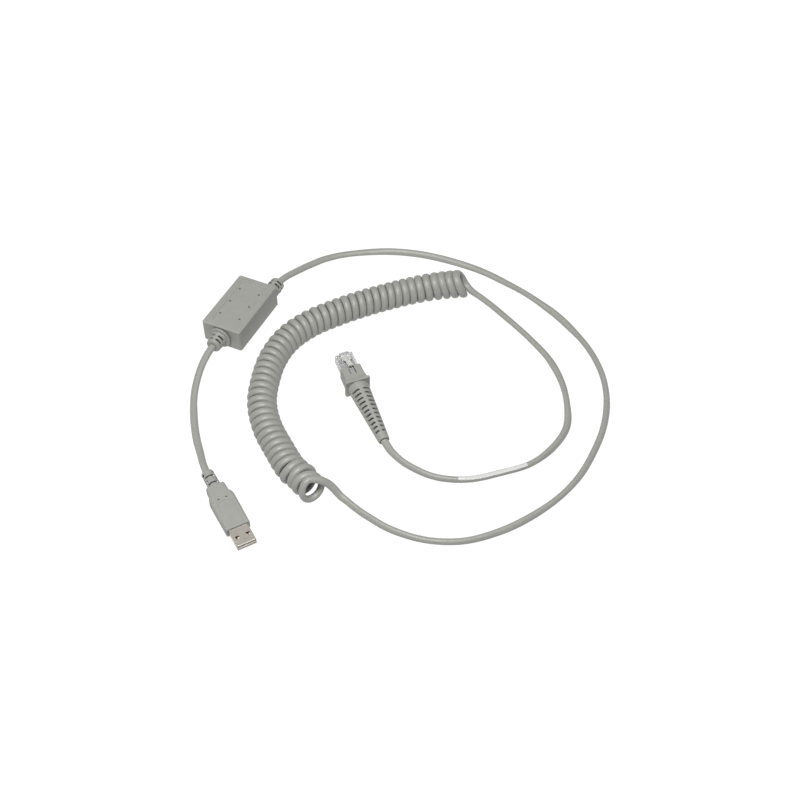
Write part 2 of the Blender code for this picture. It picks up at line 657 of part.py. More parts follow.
def add_latch(frame, material):
    """Sprung lever, whose parent empty is on the living hinge."""
    hinge = add_empty("latch_hinge", LATCH_HINGE, Matrix(), frame)
    outline = [(-GAP / 2, 0.0030), (-0.0042, 0.0030), (-0.0056, 0.00165),
               (-LATCH_LENGTH + 0.0004, 0.00165), (-LATCH_LENGTH, 0.00125)]
    outline += [(x, -y) for x, y in reversed(outline)]
    bm = bmesh.new()
    half = LATCH_THICKNESS / 2
    plate(bm, outline, -half, half, "Z")
    bmesh.ops.rotate(bm, verts=bm.verts, cent=(0, 0, 0), matrix=Matrix.Rotation(LATCH_RISE, 3, "Y"))
    add_mesh("latch_lever", bm, material, hinge)


# ---------------------------------------------------------------- whole part

def build():
    clear_scene()
    jacket = pvc("cord_pvc")
    moulding = pvc("moulded_pvc", 1.02)
    gold = make_material("gold_plate", (0.83, 0.60, 0.22), 0.25, 1.0)
    clear = make_material("clear_polycarbonate", (0.86, 0.86, 0.84), 0.12, 0.0, 0.8)

    add_housing(moulding)
    add_relief("usb_strain_relief", -1, USB_EXIT_Y, USB_FLANGE_RADIUS, moulding)
    add_relief("scanner_strain_relief", 1, SCANNER_EXIT_Y, SCANNER_FLANGE_RADIUS, moulding)
    add_inner_shells(make_material("inner_case_abs", (0.10, 0.10, 0.10), 0.5))
    add_electronics()

    usb = add_empty("usb_plug_frame", USB_PLACE, Matrix.Rotation(USB_YAW, 3, "Z"))
    add_usb_overmould(usb, moulding)
    add_usb_shell(usb, make_material("nickel_plate", (0.60, 0.57, 0.53), 0.3, 1.0))
    add_usb_inside(usb, make_material("insulator_pbt", (0.80, 0.79, 0.75), 0.4),
                   make_material("inner_mould_pe", (0.55, 0.55, 0.52), 0.6), gold)

    turn = Matrix.Rotation(MODULAR_YAW, 3, "Z") @ Matrix.Rotation(-MODULAR_PITCH, 3, "Y")
    modular = add_empty("modular_plug_frame", MODULAR_PLACE, turn)
    add_boot(modular, moulding)
    add_modular_body(modular, clear)
    add_contacts_and_wires(modular, gold)
    add_latch(modular, clear)

    plug_axis = Matrix.Rotation(USB_YAW, 3, "Z") @ Vector((1, 0, 0))
    in_module = [Vector((-x, USB_EXIT_Y, MODULE_AXIS_Z)) for x in (JACKET_END, 0.0290)]
    in_plug = [USB_PLACE - plug_axis * x for x in (0.0510, 0.0395)]
    add_tube("usb_lead", in_module + smooth_path(USB_LEAD, CORD_SPACING) + in_plug,
             CORD_RADIUS, jacket)
    in_module = [Vector((x, SCANNER_EXIT_Y, MODULE_AXIS_Z)) for x in (JACKET_END, 0.0290)]
    add_tube("scanner_lead", in_module + smooth_path(SCANNER_LEAD, CORD_SPACING),
             CORD_RADIUS, jacket)
    coil = smooth_path([(x, y, COIL_RADIUS + 0.00005) for x, y in CURLY_CORD], COIL_SPACING)
    add_tube("curly_cord", coil, COIL_RADIUS, jacket, 4)
    axis = turn @ Vector((1, 0, 0))
    mouth, *in_boot = [MODULAR_PLACE + axis * x for x in (-BOOT_LENGTH, -0.034, -0.020, -0.006, 0.008)]
    tail_path = smooth_path([*TAIL_LEAD, mouth], CORD_SPACING)
    add_tube("tail_lead", tail_path + in_boot, CORD_RADIUS, jacket)
    add_label("cord_label", path_stretch(tail_path, *LABEL_SPAN),
              make_material("label_paper", (0.80, 0.80, 0.78), 0.3))


build()
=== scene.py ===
"""Looks of the scanner interface cable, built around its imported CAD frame.

Metres, +Z up, in the frame's own axes. A plug's pieces are modelled in the plug's frame, with +X
out of its nose, and placed by the piece's matrix.
"""
import math

import bmesh
import bpy
from mathutils import Matrix, Vector


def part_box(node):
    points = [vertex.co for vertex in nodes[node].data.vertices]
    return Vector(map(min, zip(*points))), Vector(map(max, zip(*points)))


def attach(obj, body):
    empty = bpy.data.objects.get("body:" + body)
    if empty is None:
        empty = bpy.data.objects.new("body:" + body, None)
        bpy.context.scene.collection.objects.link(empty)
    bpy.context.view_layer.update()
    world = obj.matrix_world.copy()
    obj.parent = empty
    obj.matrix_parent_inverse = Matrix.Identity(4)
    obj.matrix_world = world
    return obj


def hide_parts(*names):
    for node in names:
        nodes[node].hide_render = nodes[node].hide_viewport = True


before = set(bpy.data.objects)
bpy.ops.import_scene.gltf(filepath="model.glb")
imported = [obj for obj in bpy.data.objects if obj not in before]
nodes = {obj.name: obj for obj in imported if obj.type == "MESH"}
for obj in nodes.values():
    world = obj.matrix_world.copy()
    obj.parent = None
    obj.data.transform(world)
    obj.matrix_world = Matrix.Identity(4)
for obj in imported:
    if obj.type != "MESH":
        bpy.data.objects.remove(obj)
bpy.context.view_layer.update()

# Camera and studio
LOOK_AT = Vector((-0.0206, -0.1288, 0.0))
LOOK_HEADING = math.radians(24.9)
LOOK_DOWN = math.radians(47.6)
LOOK_DISTANCE = 0.780
LENS = 54.5
KEY_LIGHT = ((-0.45, -0.12, 1.35), 0.45, 25.0)    # place, size, power
FILL_LIGHT = ((0.5, -0.9, 1.2), 0.6, 2.0)
WORLD_STRENGTH = 0.15
FLOOR_HALF = 6.0

# Cord: half widths of its oval section
WIDE = 0.00245
THIN = 0.00195
COIL_WIDE = 0.00260
LYING_HEIGHT = 0.0024             # of the routes' middle where the cord lies on the surface
LIFTS_FROM, LIFTS_BY = 0.0026, 0.0034
BORE = 0.00275                    # radius of the hole a moulding leaves for the cord

# Curly cord
COIL_AXIS_Z = 0.00965
COIL_MEAN_RADIUS = 0.0076
COIL_TURNS = 48.375
POINTS_PER_TURN = 24
COIL_ADVANCE = (                  # (turn, distance along the coil)
    (0.0, -0.0008), (0.25, -0.0006), (0.5, 0.0006), (0.75, 0.0010), (1.0, 0.0038),
    (1.3, 0.0064), (3.0, 0.0162), (6.0, 0.0316), (12.0, 0.0639), (18.0, 0.0989),
    (24.0, 0.1345), (30.0, 0.1687), (36.0, 0.2019), (42.0, 0.2346), (45.0, 0.2527),
    (46.0, 0.2584), (47.0, 0.2640), (47.4, 0.2663), (47.75, 0.2684), (48.0, 0.2695),
    (48.5, 0.2706))
FIRST_TURN_SMALLER = 0.0011       # by how much its far side is drawn in
START_LEAN = math.radians(14.0)   # of the first turn, its top forward along the coil
START_TURNS = 3.0
END_LEAN = math.radians(27.0)     # of the last turn, its top back along the coil
END_TURNS = 10.0
END_WIDER = 0.0003
END_STRAND_WIDER = 0.00018
STRAND_SHARE = 0.475              # most of the room along the coil that half a strand takes
LEAST_ROOM = 0.0050
LAST_TURN_ROOM = 0.0009           # more than that, on the last turn
BEND_SPAN = 0.012                 # over which the coil's bend is taken

# Inline module
housing_low, housing_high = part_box("module_housing")
MODULE_TOP = housing_high.z
MODULE_HALF = Vector((0.0255, 0.0145, MODULE_TOP / 2))
MODULE_CORNER = 0.0016
MODULE_EDGE = 0.0011
MODULE_AXIS_Z = MODULE_TOP / 2
PANEL_HALF = (0.0202, 0.0093)
PIN_PITCH = (0.0131, 0.0074)
USB_EXIT_Y = 0.0005
SCANNER_EXIT_Y = -0.0086
JACKET_END = 0.0212
GROMMET_SLOTS = ((0.0041, 0.0054), (0.0071, 0.0084))    # from the housing's end face
GROMMET_HOLLOW = 0.0040
GROMMET_LENGTH = 0.0109

# Plug frames
USB_FRAME = (Matrix.Translation((-0.1634, -0.0979, 0.0036))
             @ Matrix.Rotation(math.radians(-126.6), 4, "Z"))
MODULAR_FRAME = (Matrix.Translation((-0.0277, -0.1024, 0.00715))
                 @ Matrix.Rotation(math.radians(46.9), 4, "Z")
                 @ Matrix.Rotation(math.radians(-4.3), 4, "Y"))
LATCH_HINGE = Vector((0.0245, 0.0, 0.0044))
LATCH_RISE = math.radians(11.0)
BODY_REAR, BODY_FRONT = 0.0058, 0.0273
BODY_HALF_WIDTH = 0.00584
BODY_TOP, BODY_BOTTOM = 0.0030, -0.0036
CONTACT_PITCH = 0.00102
WIRE_RADIUS = 0.00042
WIRE_COLOURS = {"violet": (0.17, 0.13, 0.22), "white": (0.70, 0.70, 0.68),
                "grey": (0.30, 0.30, 0.31), "brown": (0.20, 0.14, 0.10),
                "yellow": (0.52, 0.47, 0.30), "green": (0.10, 0.20, 0.13),
                "red": (0.34, 0.17, 0.14), "black": (0.07, 0.07, 0.07),
                "orange": (0.42, 0.32, 0.24), "blue": (0.07, 0.13, 0.45)}
COLLAR_FRONT = 0.0145
COLLAR_CLEAR = 0.0080             # height clear of the collar's top
CHANNEL_HALF = 0.0015             # of the collar's channel under the lever
SLIT = (0.00140, 0.00205)         # from and to, either side of the channel
FLANGE_HALF = (0.0083, 0.0070)
FLANGE_THICK = 0.0020
BOOT_LENGTH = 0.0460
BOOT_RADII = (0.0071, 0.0037)     # at the root and at the cord
BOOT_ROOT_BORE = 0.0052
BOOT_FLATTER = 0.12               # by how much its root is lower than it is wide
BOOT_SLOTS = [-0.0059 - 0.0034 * index for index in range(11)]
SHELL_HALF = (0.0060, 0.00225)
SHELL_CORNER, SHELL_WALL = 0.0008, 0.0003
SHELL_SHOWS = 0.0128
SHELL_REAR = -0.0186
SHELL_WINDOW = (-0.0060, 0.0033)  # place along and across
GRIP_HALF_HEIGHT = 0.00355
GRIP_RECESS = 0.00018
GRIP_PIN_HOLE = (-0.0357, 0.00255, 0.00066)    # place along and across, radius
USB_RELIEF_SLOTS = (              # (place, angle of the middle, half its span)
    (-0.0497, 90, 59), (-0.0525, 0, 45), (-0.0553, 90, 59), (-0.0581, 0, 45))
USB_RELIEF_HOLLOW = 0.0030
USB_RELIEF_WIDER = 1.15

# Routes of the cord outside its mouldings
USB_LEAD = (
    (-0.0365, 0.0005, 0.0084), (-0.0440, 0.0002, 0.0079), (-0.0540, -0.0012, 0.0065),
    (-0.0650, -0.0041, 0.0043), (-0.0761, -0.0086, 0.0027), (-0.0870, -0.0150, 0.0024),
    (-0.0970, -0.0218, 0.0024), (-0.1062, -0.0290, 0.0024), (-0.1150, -0.0370, 0.0027),
    (-0.1210, -0.0423, 0.0032), (-0.1261, -0.0477, 0.0036))
SCANNER_LEAD = (
    (0.0365, -0.0086, 0.0084), (0.0445, -0.0101, 0.0079), (0.0547, -0.0133, 0.0064),
    (0.0670, -0.0178, 0.0044), (0.0840, -0.0275, 0.0026), (0.0974, -0.0448, 0.0024),
    (0.1070, -0.0640, 0.0024), (0.1130, -0.0850, 0.0024), (0.1152, -0.1070, 0.0024),
    (0.1147, -0.1289, 0.0024), (0.1102, -0.1510, 0.0024), (0.1038, -0.1720, 0.0024),
    (0.0951, -0.1920, 0.0024), (0.0834, -0.2109, 0.0024), (0.0694, -0.2274, 0.0024),
    (0.0522, -0.2409, 0.0024), (0.0321, -0.2504, 0.0024), (0.0102, -0.2555, 0.0024),
    (-0.0121, -0.2565, 0.0024), (-0.0343, -0.2547, 0.0024), (-0.0554, -0.2486, 0.0024),
    (-0.0749, -0.2388, 0.0024), (-0.0925, -0.2262, 0.0024), (-0.1076, -0.2096, 0.0024),
    (-0.1161, -0.1892, 0.0024), (-0.1178, -0.1680, 0.0024), (-0.1146, -0.1500, 0.0024),
    (-0.1119, -0.1407, 0.0024), (-0.1101, -0.1354, 0.0028), (-0.1093, -0.1313, 0.0038),
    (-0.1087, -0.1280, 0.0062), (-0.1087, -0.1250, 0.0094), (-0.1096, -0.1219, 0.0127),
    (-0.1113, -0.1186, 0.0155))
CURLY_CORD = (
    (-0.1154, -0.1145), (-0.1103, -0.1058), (-0.1072, -0.0971), (-0.0970, -0.0832),
    (-0.0841, -0.0676), (-0.0678, -0.0546), (-0.0491, -0.0466), (-0.0299, -0.0418),
    (-0.0098, -0.0420), (0.0091, -0.0486), (0.0256, -0.0593), (0.0407, -0.0712),
    (0.0559, -0.0851), (0.0697, -0.0992), (0.0808, -0.1131), (0.0914, -0.1300),
    (0.0935, -0.1334))
TAIL_LEAD = (
    (0.0941, -0.1284, 0.0029), (0.0924, -0.1316, 0.0024),
    (0.0892, -0.1395, 0.0024), (0.0855, -0.1478, 0.0024), (0.0819, -0.1550, 0.0024),
    (0.0730, -0.1715, 0.0024), (0.0633, -0.1881, 0.0024), (0.0523, -0.2038, 0.0024),
    (0.0375, -0.2174, 0.0024), (0.0203, -0.2276, 0.0024), (0.0010, -0.2343, 0.0024),
    (-0.0188, -0.2324, 0.0024), (-0.0370, -0.2244, 0.0024), (-0.0512, -0.2103, 0.0024),
    (-0.0644, -0.1942, 0.0024), (-0.0709, -0.1755, 0.0024), (-0.0693, -0.1560, 0.0024),
    (-0.0645, -0.1437, 0.0029))

# How the oval lies along each stretch: (distance, angle of its wide side from level)
USB_TWIST = ((0.0, 0), (0.030, -20), (0.045, -28), (0.062, 0), (0.078, 0), (0.098, 40),
             (0.120, 0))
SCANNER_TWIST = ((0.0, 0), (0.035, -15), (0.065, 5), (0.100, -48), (0.130, -46), (0.175, 0),
                 (0.200, 40), (0.233, -30), (0.265, 60), (0.300, 70), (0.323, 50), (0.350, 62),
                 (0.380, 75), (0.400, 108), (0.432, 72), (0.488, 118), (0.520, 87), (0.545, 80),
                 (0.568, 25))
TAIL_TWIST = ((0.0, -20), (0.012, 25), (0.035, 30), (0.055, 55), (0.078, 30), (0.093, 15),
              (0.123, 65), (0.141, 25), (0.168, 65), (0.185, 115), (0.213, 140), (0.243, 110),
              (0.273, 80), (0.295, 0))
LABEL_SPAN = (0.1855, 0.2309)     # distances along the tail


# ---------------------------------------------------------------- materials

class Nodes:
    """Short hand for wiring one material."""

    def __init__(self, name, colour, roughness, **sockets):
        self.material = bpy.data.materials.new(name)
        self.material.use_nodes = True
        self.tree = self.material.node_tree
        self.shader = self.tree.nodes["Principled BSDF"]
        self.set(self.shader, {"Base Color": (*colour, 1.0), "Roughness": roughness, **sockets})
        self.colour = colour
        self.roughness = roughness
        self.coordinates = self.tree.nodes.new("ShaderNodeTexCoord").outputs["Object"]
        self.material.diffuse_color = (*colour, 1.0)

    @staticmethod
    def set(node, values):
        for key, value in values.items():
            node.inputs[key].default_value = value

    def noise(self, scale, detail=2.0, stretch=None):
        texture = self.tree.nodes.new("ShaderNodeTexNoise")
        self.set(texture, {"Scale": scale, "Detail": detail})
        source = self.coordinates
        if stretch:
            mapping = self.tree.nodes.new("ShaderNodeMapping")
            mapping.inputs["Scale"].default_value = stretch
            self.tree.links.new(source, mapping.inputs["Vector"])
            source = mapping.outputs["Vector"]
        self.tree.links.new(source, texture.inputs["Vector"])
        return texture.outputs["Fac"]

    def vary_colour(self, factor, spread):
        """Lets the colour drift a little darker and lighter."""
        ramp = self.tree.nodes.new("ShaderNodeValToRGB")
        ramp.color_ramp.elements[0].position = 0.3
        ramp.color_ramp.elements[1].position = 0.7
        for element, share in zip(ramp.color_ramp.elements, (1 - spread, 1 + spread)):
            element.color = (*[min(c * share, 1.0) for c in self.colour], 1.0)
        self.tree.links.new(factor, ramp.inputs["Fac"])
        self.tree.links.new(ramp.outputs["Color"], self.shader.inputs["Base Color"])

    def vary_roughness(self, factor, spread):
        span = self.tree.nodes.new("ShaderNodeMapRange")
        self.set(span, {"To Min": self.roughness - spread, "To Max": self.roughness + spread})
        self.tree.links.new(factor, span.inputs["Value"])
        self.tree.links.new(span.outputs["Result"], self.shader.inputs["Roughness"])

    def bump(self, height, strength, distance):
        bump = self.tree.nodes.new("ShaderNodeBump")
        self.set(bump, {"Strength": strength, "Distance": distance})
        self.tree.links.new(height, bump.inputs["Height"])
        self.tree.links.new(bump.outputs["Normal"], self.shader.inputs["Normal"])


def cord_pvc():
    """Extruded jacket: smooth, with a faint waviness."""
    look = Nodes("cord_jacket", (0.268, 0.272, 0.248), 0.46)
    look.vary_colour(look.noise(60.0, 2.0), 0.02)
    look.vary_roughness(look.noise(700.0), 0.05)
    look.bump(look.noise(900.0, 2.0), 0.01, 0.0001)
    return look.material


def moulded_pvc():
    """Moulded pieces: a fine spark-eroded grain, a little duller than the jacket."""
    look = Nodes("moulding", (0.264, 0.268, 0.245), 0.56)
    look.vary_colour(look.noise(220.0, 5.0), 0.035)
    look.vary_roughness(look.noise(900.0), 0.06)
    look.bump(look.noise(4200.0, 2.0), 0.22, 0.00008)
    return look.material


def shell_metal():
    """Nickel plate over drawn steel, with draw lines along the plug."""
    look = Nodes("nickel", (0.48, 0.445, 0.40), 0.38, Metallic=0.55)
    look.vary_colour(look.noise(300.0, 3.0), 0.05)
    look.vary_roughness(look.noise(900.0, 3.0, (0.06, 1.0, 1.0)), 0.07)
    look.bump(look.noise(2600.0, 2.0, (0.04, 1.0, 1.0)), 0.12, 0.00004)
    return look.material


def clear_plastic():
    """Injection-moulded polycarbonate with slight flow lines."""
    look = Nodes("clear_polycarbonate", (0.78, 0.79, 0.79), 0.20,
                 **{"IOR": 1.50, "Transmission Weight": 0.72})
    look.vary_roughness(look.noise(500.0, 2.0), 0.03)
    look.bump(look.noise(420.0, 1.0, (0.4, 1.0, 1.0)), 0.05, 0.00008)
    return look.material


def latch_plastic():
    """The same clear plastic, hazed where the lever flexes."""
    look = Nodes("hazed_polycarbonate", (0.84, 0.84, 0.81), 0.24,
                 **{"IOR": 1.50, "Transmission Weight": 0.55})
    look.vary_roughness(look.noise(600.0, 2.0), 0.05)
    look.bump(look.noise(420.0, 1.0, (0.4, 1.0, 1.0)), 0.05, 0.00008)
    return look.material


def gold_plate():
    look = Nodes("gold", (0.86, 0.62, 0.24), 0.24, Metallic=1.0)
    look.vary_colour(look.noise(1500.0), 0.06)
    look.vary_roughness(look.noise(2500.0), 0.06)
    return look.material


def label_film():
    """White film with a glossy face, faintly wrinkled where it wraps the cord."""
    look = Nodes("label_film", (0.55, 0.555, 0.545), 0.30, **{"Coat Weight": 0.4})
    look.vary_colour(look.noise(500.0, 3.0), 0.02)
    look.bump(look.noise(220.0, 1.0), 0.12, 0.0001)
    return look.material


def plain_plastic(name, colour, roughness=0.45, metallic=0.0):
    look = Nodes(name, colour, roughness, Metallic=metallic)
    look.vary_colour(look.noise(900.0, 3.0), 0.06)
    look.vary_roughness(look.noise(1800.0), 0.05)
    look.bump(look.noise(3500.0), 0.08, 0.00005)
    return look.material


# ---------------------------------------------------------------- shapes

def ring(half_a, half_b, radius, corner_points=8):
    """Rounded rectangle as (a, b) pairs, counter-clockwise; equal values give a circle."""
    points = []
    for corner in range(4):
        sign_a = 1 if corner in (0, 3) else -1
        sign_b = 1 if corner in (0, 1) else -1
        for step in range(corner_points):
            angle = (corner + step / (corner_points - 1)) * math.pi / 2
            points.append((sign_a * (half_a - radius) + radius * math.cos(angle),
                           sign_b * (half_b - radius) + radius * math.sin(angle)))
    return points


def loft(bm, rings, caps=True):
    """Skins a row of rings and caps its ends."""
    rows = [[bm.verts.new(point) for point in points] for points in rings]
    count = len(rows[0])
    for first, second in zip(rows, rows[1:]):
        for i in range(count):
            j = (i + 1) % count
            bm.faces.new((first[i], first[j], second[j], second[i]))
    if caps:
        bm.faces.new(rows[0])
        bm.faces.new(rows[-1])


def along_x(sections, corner_points=8):
    """Rings across X from (x, half width, half height, corner radius)."""
    return [[(x, y, z) for y, z in ring(half_y, half_z, radius, corner_points)]
            for x, half_y, half_z, radius in sections]


def eased(x, half_y, half_z, radius, rounding, side, steps=4):
    """Sections that round an end of a block: side is +1 where the end faces +X."""
    made = []
    for step in range(steps + 1):
        angle = step / steps * math.pi / 2
        inset = rounding * (1 - math.cos(angle))
        made.append((x - side * rounding * (1 - math.sin(angle)), half_y - inset,
                     half_z - inset, max(radius - inset, 0.0002)))
    return made if side > 0 else made[::-1]


def plate(bm, outline, low, high, axis="Y"):
    """Extrudes an outline of (x, z) pairs along Y, or of (x, y) pairs along Z."""
    if axis == "Y":
        loft(bm, [[(x, offset, z) for x, z in outline] for offset in (low, high)])
    else:
        loft(bm, [[(x, y, offset) for x, y in outline] for offset in (low, high)])


def box(bm, low, high):
    plate(bm, [(low[0], low[2]), (high[0], low[2]), (high[0], high[2]), (low[0], high[2])],
          low[1], high[1])


def sleeve(bm, stations, angles, is_slot, y=0.0, z=0.0):
    """Tube about X with slots through its wall: stations are (x, outer radius, inner radius),
    and is_slot tells from a cell's middle (x, angle) whether it is open."""
    count = len(angles)

    def point(i, j, layer):
        x, angle = stations[i][0], math.radians(angles[j])
        radius = stations[i][layer]
        return bm.verts.new((x, y + radius * math.cos(angle), z + radius * math.sin(angle)))

    shells = [[[point(i, j, layer) for j in range(count)] for i in range(len(stations))]
              for layer in (1, 2)]

    def solid(i, j):
        if not 0 <= i < len(stations) - 1:
            return False
        here, after = angles[j % count], angles[(j + 1) % count]
        middle = (here + (after if after > here else after + 360)) / 2 % 360
        return not is_slot((stations[i][0] + stations[i + 1][0]) / 2, middle)

    outer, inner = shells
    for i in range(len(stations)):
        for j in range(count):
            k = (j + 1) % count
            if solid(i, j):
                bm.faces.new((outer[i][j], outer[i][k], outer[i + 1][k], outer[i + 1][j]))
                bm.faces.new((inner[i][j], inner[i + 1][j], inner[i + 1][k], inner[i][k]))
            if solid(i, j) != solid(i - 1, j):
                bm.faces.new((outer[i][j], outer[i][k], inner[i][k], inner[i][j]))
            if i < len(stations) - 1 and solid(i, j) != solid(i, j - 1):
                bm.faces.new((outer[i][j], inner[i][j], inner[i + 1][j], outer[i + 1][j]))
    bmesh.ops.delete(bm, geom=[v for v in bm.verts if not v.link_faces], context="VERTS")


def smooth_curve(points, steps):
    """Points on the smooth curve through the given ones, some steps to each stretch."""
    knots = [Vector(point) for point in points]
    slopes = []
    for i, here in enumerate(knots):
        before, after = knots[max(i - 1, 0)], knots[min(i + 1, len(knots) - 1)]
        slopes.append((after - before) / ((after - here).length + (here - before).length))
    fine = [knots[0]]
    for start, end, slope, next_slope in zip(knots, knots[1:], slopes, slopes[1:]):
        chord = (end - start).length
        for step in range(1, steps + 1):
            t = step / steps
            fine.append(start * (2 * t**3 - 3 * t**2 + 1) + end * (3 * t**2 - 2 * t**3)
                        + slope * chord * (t**3 - 2 * t**2 + t)
                        + next_slope * chord * (t**3 - t**2))
    return fine


def distances(path):
    travelled = [0.0]
    for a, b in zip(path, path[1:]):
        travelled.append(travelled[-1] + (b - a).length)
    return travelled


def interpolate(stops, x):
    """Value at x, eased between (x, value) stops and flat beyond their ends."""
    for (x0, v0), (x1, v1) in zip(stops, stops[1:]):
        if x <= x1:
            return v0 + (v1 - v0) * ease((x - x0) / (x1 - x0))
    return stops[-1][1]


def ease(share):
    share = min(max(share, 0.0), 1.0)
    return share * share * (3 - 2 * share)


# ---------------------------------------------------------------- pieces

def add_piece(name, bm, material, body="cable", replaces=(), place=None, smooth=35.0,
              weighted=True):
    """An object made of a bmesh, shaded smooth up to an angle, that rides on a body."""
    bmesh.ops.recalc_face_normals(bm, faces=bm.faces)
    mesh = bpy.data.meshes.new(name)
    bm.to_mesh(mesh)
    bm.free()
    piece = bpy.data.objects.new(name, mesh)
    bpy.context.scene.collection.objects.link(piece)
    mesh.materials.append(material)
    mesh.shade_smooth()
    mesh.set_sharp_from_angle(angle=math.radians(smooth))
    if weighted:
        piece.modifiers.new("weighted_normals", "WEIGHTED_NORMAL").keep_sharp = True
    piece.matrix_world = place or Matrix()
    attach(piece, body)
    if replaces:
        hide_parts(*replaces)
    return piece


def temporary(bm):
    """A throwaway object that holds a shape while modifiers work on it."""
    bmesh.ops.recalc_face_normals(bm, faces=bm.faces)
    mesh = bpy.data.meshes.new("temporary")
    bm.to_mesh(mesh)
    bm.free()
    thing = bpy.data.objects.new("temporary", mesh)
    bpy.context.scene.collection.objects.link(thing)
    return thing


def settled(*things):
    """The first object's shape with its modifiers applied, as a bmesh; removes them all."""
    bpy.context.view_layer.update()
    result = things[0].evaluated_get(bpy.context.evaluated_depsgraph_get())
    made = bmesh.new()
    made.from_mesh(result.to_mesh())
    result.to_mesh_clear()
    for thing in things:
        bpy.data.objects.remove(thing)
    return made


def carve(bm, cutters, bevel=0.0, angle=40.0):
    """Cuts a shape with others and rounds its edges; returns the result as a bmesh."""
    target = temporary(bm)
    tools = [temporary(cutter) for cutter in cutters]
    for tool in tools:
        boolean = target.modifiers.new("cut", "BOOLEAN")
        boolean.operation = "DIFFERENCE"
        boolean.solver = "EXACT"
        boolean.object = tool
    if bevel:
        rounding = target.modifiers.new("bevel", "BEVEL")
        rounding.width = bevel
        rounding.segments = 2
        rounding.limit_method = "ANGLE"
        rounding.angle_limit = math.radians(angle)
    return settled(target, *tools)


def rounded(bm, levels=2):
    """The shape after subdivision, which rounds every edge of it."""
    target = temporary(bm)
    rounding = target.modifiers.new("rounding", "SUBSURF")
    rounding.levels = rounding.render_levels = levels
    return settled(target)


def joined(*shapes):
    """Several shapes as one bmesh."""
    whole = bmesh.new()
    for shape in shapes:
        bmesh.ops.recalc_face_normals(shape, faces=shape.faces)
        mesh = bpy.data.meshes.new("temporary")
        shape.to_mesh(mesh)
        shape.free()
        whole.from_mesh(mesh)
        bpy.data.meshes.remove(mesh)
    return whole


# ---------------------------------------------------------------- cord

def level_sides(knots, twist):
    """The wide side's direction at each knot, turned from level as the twist says."""
    sides = []
    for i, travelled in enumerate(distances(knots)):
        ahead = (knots[min(i + 1, len(knots) - 1)] - knots[max(i - 1, 0)]).normalized()
        level = Vector((ahead.y, -ahead.x, 0.0)).normalized()
        angle = math.radians(interpolate(twist, travelled))
        sides.append(level * math.cos(angle) + level.cross(ahead) * math.sin(angle))
    return sides


def lead_knots(route, twist, steps=6):
    """Knots of a plain stretch: (place, wide side's direction, wide half, thin half)."""
    knots = smooth_curve(route, steps)
    lying = []
    for place, side in zip(knots, level_sides(knots, twist)):
        height = math.hypot(WIDE * side.z, THIN * math.sqrt(max(1 - side.z**2, 0.0)))
        share = 1 - ease((place.z - LIFTS_FROM) / (LIFTS_BY - LIFTS_FROM))
        lying.append((place + Vector((0, 0, (height - LYING_HEIGHT) * share)), side, WIDE, THIN))
    return lying


def coil_knots():
    """Knots of the left-handed helix, from the top of its first loop to the surface."""
    centre = smooth_curve([(x, y, COIL_AXIS_Z) for x, y in CURLY_CORD], 40)
    travelled = distances(centre)
    advance = smooth_curve([(turn, along, 0.0) for turn, along in COIL_ADVANCE], 12)
    knots = []
    i = k = 0
    for step in range(round(COIL_TURNS * POINTS_PER_TURN) + 1):
        turn = step / POINTS_PER_TURN
        while k < len(advance) - 2 and advance[k + 1].x < turn:
            k += 1
        pitch = (advance[k + 1].y - advance[k].y) / (advance[k + 1].x - advance[k].x)
        goal = advance[k].y + (turn - advance[k].x) * pitch
        while i < len(centre) - 2 and travelled[i + 1] < goal:
            i += 1
        share = (goal - travelled[i]) / (travelled[i + 1] - travelled[i])
        middle = centre[i].lerp(centre[i + 1], share)
        before, after = centre[max(i - 12, 0)], centre[min(i + 13, len(centre) - 1)]
        axis = (after - before).normalized()
        bend = heading_change(centre, i) / BEND_SPAN
        across = axis.cross(Vector((0, 0, 1)))
        angle = -2 * math.pi * turn
        radial = Vector((0, 0, 1)) * math.cos(angle) + across * math.sin(angle)
        late = ease((turn - COIL_TURNS + END_TURNS) / END_TURNS)
        lean = math.tan(START_LEAN * (1 - ease(turn / START_TURNS)) - END_LEAN * late)
        radial += axis * lean * math.cos(angle)
        least = LEAST_ROOM + LAST_TURN_ROOM * ease((turn - COIL_TURNS + 1.1) / 0.4)
        room = max(pitch, least) * (1 + bend * COIL_MEAN_RADIUS * math.sin(angle))
        wide = min(COIL_WIDE + END_STRAND_WIDER * late, STRAND_SHARE * room)
        drawn_in = FIRST_TURN_SMALLER * ease(turn / 0.2) * (1 - ease((turn - 0.25) / 0.25))
        radius = COIL_MEAN_RADIUS - drawn_in + END_WIDER * late
        knots.append((middle + radial * radius, axis, wide, THIN))
    return knots


def heading_change(centre, i):
    """Turn to the left of the coil's centre line over a short span about a point."""
    gap = (centre[1] - centre[0]).length
    reach = max(1, round(BEND_SPAN / 2 / max(gap, 1e-6)))
    a, b, c = (centre[min(max(k, 0), len(centre) - 1)] for k in (i - reach, i, i + reach))
    first, second = b - a, c - b
    if first.length < 1e-9 or second.length < 1e-9:
        return 0.0
    return math.atan2(first.x * second.y - first.y * second.x, first.dot(second))


